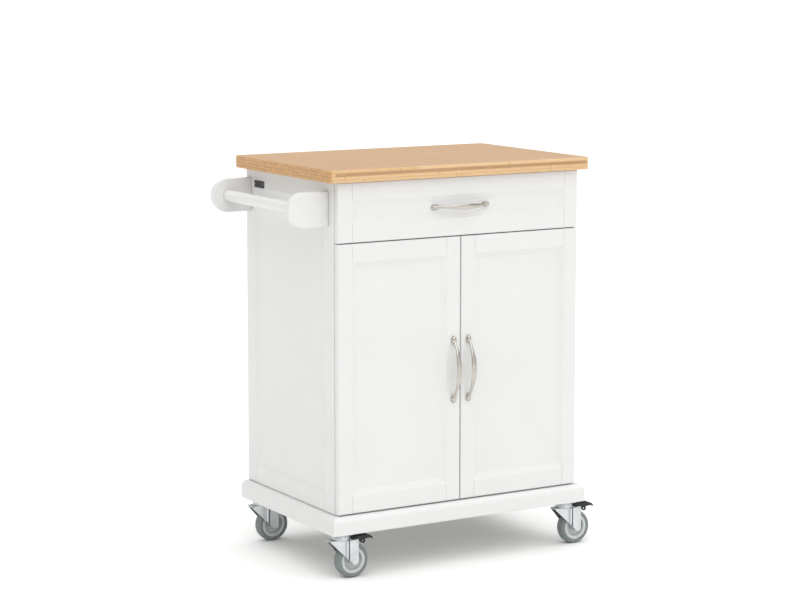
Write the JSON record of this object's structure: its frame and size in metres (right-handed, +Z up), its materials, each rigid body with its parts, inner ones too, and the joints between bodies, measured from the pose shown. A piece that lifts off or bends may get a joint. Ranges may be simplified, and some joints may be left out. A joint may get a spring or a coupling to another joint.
{
  "type": "kitchen trolley",
  "caption": "White kitchen trolley with a bamboo butcher-block worktop, a drawer over double doors, a side towel rail and swivel castors with brakes.",
  "frame": {"origin": "on the floor, below the middle of the whole object's bounding box", "axes": "+X to the right along the front, +Y from the front to the back, +Z up"},
  "size_m": [0.766, 0.4596, 0.88],
  "materials": {
    "lacquer": "white satin lacquer on MDF board",
    "melamine": "white melamine faced board",
    "bamboo": "satin oiled bamboo butcher block",
    "satin_nickel": "satin nickel plating",
    "hinge_steel": "nickel plated pressed steel",
    "zinc": "zinc plated pressed steel",
    "tyre": "grey thermoplastic rubber",
    "hub": "light grey moulded plastic",
    "pedal": "black moulded plastic"
  },
  "bodies": {
    "cabinet": {"worktop": "bamboo", "left_side_panel": "lacquer", "right_side_panel": "lacquer", "back_panel": "melamine", "base_board": "melamine", "shelf": "melamine", "top_front_rail": "melamine", "top_rear_rail": "melamine", "middle_rail": "melamine", "plinth_front": "lacquer", "plinth_back": "lacquer", "plinth_left": "lacquer", "plinth_right": "lacquer", "runner_left_cabinet": "zinc", "runner_right_cabinet": "zinc", "left_hinge_arm_lower": "hinge_steel", "left_hinge_arm_upper": "hinge_steel", "right_hinge_arm_lower": "hinge_steel", "right_hinge_arm_upper": "hinge_steel", "towel_bracket_front": "lacquer", "towel_bracket_back": "lacquer", "towel_bar": "lacquer", "castor_front_left_plate": "zinc", "castor_front_right_plate": "zinc", "castor_back_left_plate": "zinc", "castor_back_right_plate": "zinc"},
    "drawer": {"drawer_front": "lacquer", "drawer_side_left": "melamine", "drawer_side_right": "melamine", "drawer_back": "melamine", "drawer_bottom": "melamine", "drawer_handle": "satin_nickel", "runner_left_drawer": "zinc", "runner_right_drawer": "zinc"},
    "left_door": {"left_door": "lacquer", "left_door_handle": "satin_nickel", "left_hinge_cup_lower": "hinge_steel", "left_hinge_cup_upper": "hinge_steel"},
    "right_door": {"right_door": "lacquer", "right_door_handle": "satin_nickel", "right_hinge_cup_lower": "hinge_steel", "right_hinge_cup_upper": "hinge_steel"},
    "castor_front_left_swivel": {"castor_front_left_fork": "zinc", "castor_front_left_axle": "zinc"},
    "castor_front_left_wheel": {"castor_front_left_tyre": "tyre", "castor_front_left_hub": "hub"},
    "castor_front_right_swivel": {"castor_front_right_fork": "zinc", "castor_front_right_axle": "zinc"},
    "castor_front_right_wheel": {"castor_front_right_tyre": "tyre", "castor_front_right_hub": "hub"},
    "castor_back_left_swivel": {"castor_back_left_fork": "zinc", "castor_back_left_axle": "zinc"},
    "castor_back_left_wheel": {"castor_back_left_tyre": "tyre", "castor_back_left_hub": "hub"},
    "castor_back_right_swivel": {"castor_back_right_fork": "zinc", "castor_back_right_axle": "zinc"},
    "castor_back_right_wheel": {"castor_back_right_tyre": "tyre", "castor_back_right_hub": "hub"},
    "brake_front_left": {"brake_pedal_front_left": "pedal"},
    "brake_front_right": {"brake_pedal_front_right": "pedal"}
  },
  "joints": [
    {"name": "drawer_slide", "type": "slide", "parent": "cabinet", "child": "drawer", "axis": [0, -1, 0], "range_m": [0, 0.24]},
    {"name": "left_door_hinge", "type": "hinge", "parent": "cabinet", "child": "left_door", "pos_m": [-0.281, -0.20165, 0.43], "axis": [0, 0, -1], "range_deg": [0, 105]},
    {"name": "right_door_hinge", "type": "hinge", "parent": "cabinet", "child": "right_door", "pos_m": [0.32, -0.20165, 0.43], "axis": [0, 0, 1], "range_deg": [0, 105]},
    {"name": "castor_front_left_turn", "type": "hinge", "parent": "cabinet", "child": "castor_front_left_swivel", "pos_m": [-0.2705, -0.18265, 0.0854], "axis": [0, 0, 1], "continuous": true},
    {"name": "castor_front_left_roll", "type": "hinge", "parent": "castor_front_left_swivel", "child": "castor_front_left_wheel", "pos_m": [-0.2455, -0.18265, 0.0375], "axis": [0, 1, 0], "continuous": true},
    {"name": "castor_front_right_turn", "type": "hinge", "parent": "cabinet", "child": "castor_front_right_swivel", "pos_m": [0.3095, -0.18265, 0.0854], "axis": [0, 0, 1], "continuous": true},
    {"name": "castor_front_right_roll", "type": "hinge", "parent": "castor_front_right_swivel", "child": "castor_front_right_wheel", "pos_m": [0.3345, -0.18265, 0.0375], "axis": [0, 1, 0], "continuous": true},
    {"name": "castor_back_left_turn", "type": "hinge", "parent": "cabinet", "child": "castor_back_left_swivel", "pos_m": [-0.2705, 0.18385, 0.0854], "axis": [0, 0, 1], "continuous": true},
    {"name": "castor_back_left_roll", "type": "hinge", "parent": "castor_back_left_swivel", "child": "castor_back_left_wheel", "pos_m": [-0.2455, 0.18385, 0.0375], "axis": [0, 1, 0], "continuous": true},
    {"name": "castor_back_right_turn", "type": "hinge", "parent": "cabinet", "child": "castor_back_right_swivel", "pos_m": [0.3095, 0.18385, 0.0854], "axis": [0, 0, 1], "continuous": true},
    {"name": "castor_back_right_roll", "type": "hinge", "parent": "castor_back_right_swivel", "child": "castor_back_right_wheel", "pos_m": [0.3345, 0.18385, 0.0375], "axis": [0, 1, 0], "continuous": true},
    {"name": "brake_front_left_press", "type": "hinge", "parent": "castor_front_left_swivel", "child": "brake_front_left", "pos_m": [-0.243, -0.18265, 0.0805], "axis": [0, 1, 0], "range_deg": [0, 10]},
    {"name": "brake_front_right_press", "type": "hinge", "parent": "castor_front_right_swivel", "child": "brake_front_right", "pos_m": [0.337, -0.18265, 0.0805], "axis": [0, 1, 0], "range_deg": [0, 10]}
  ]
}
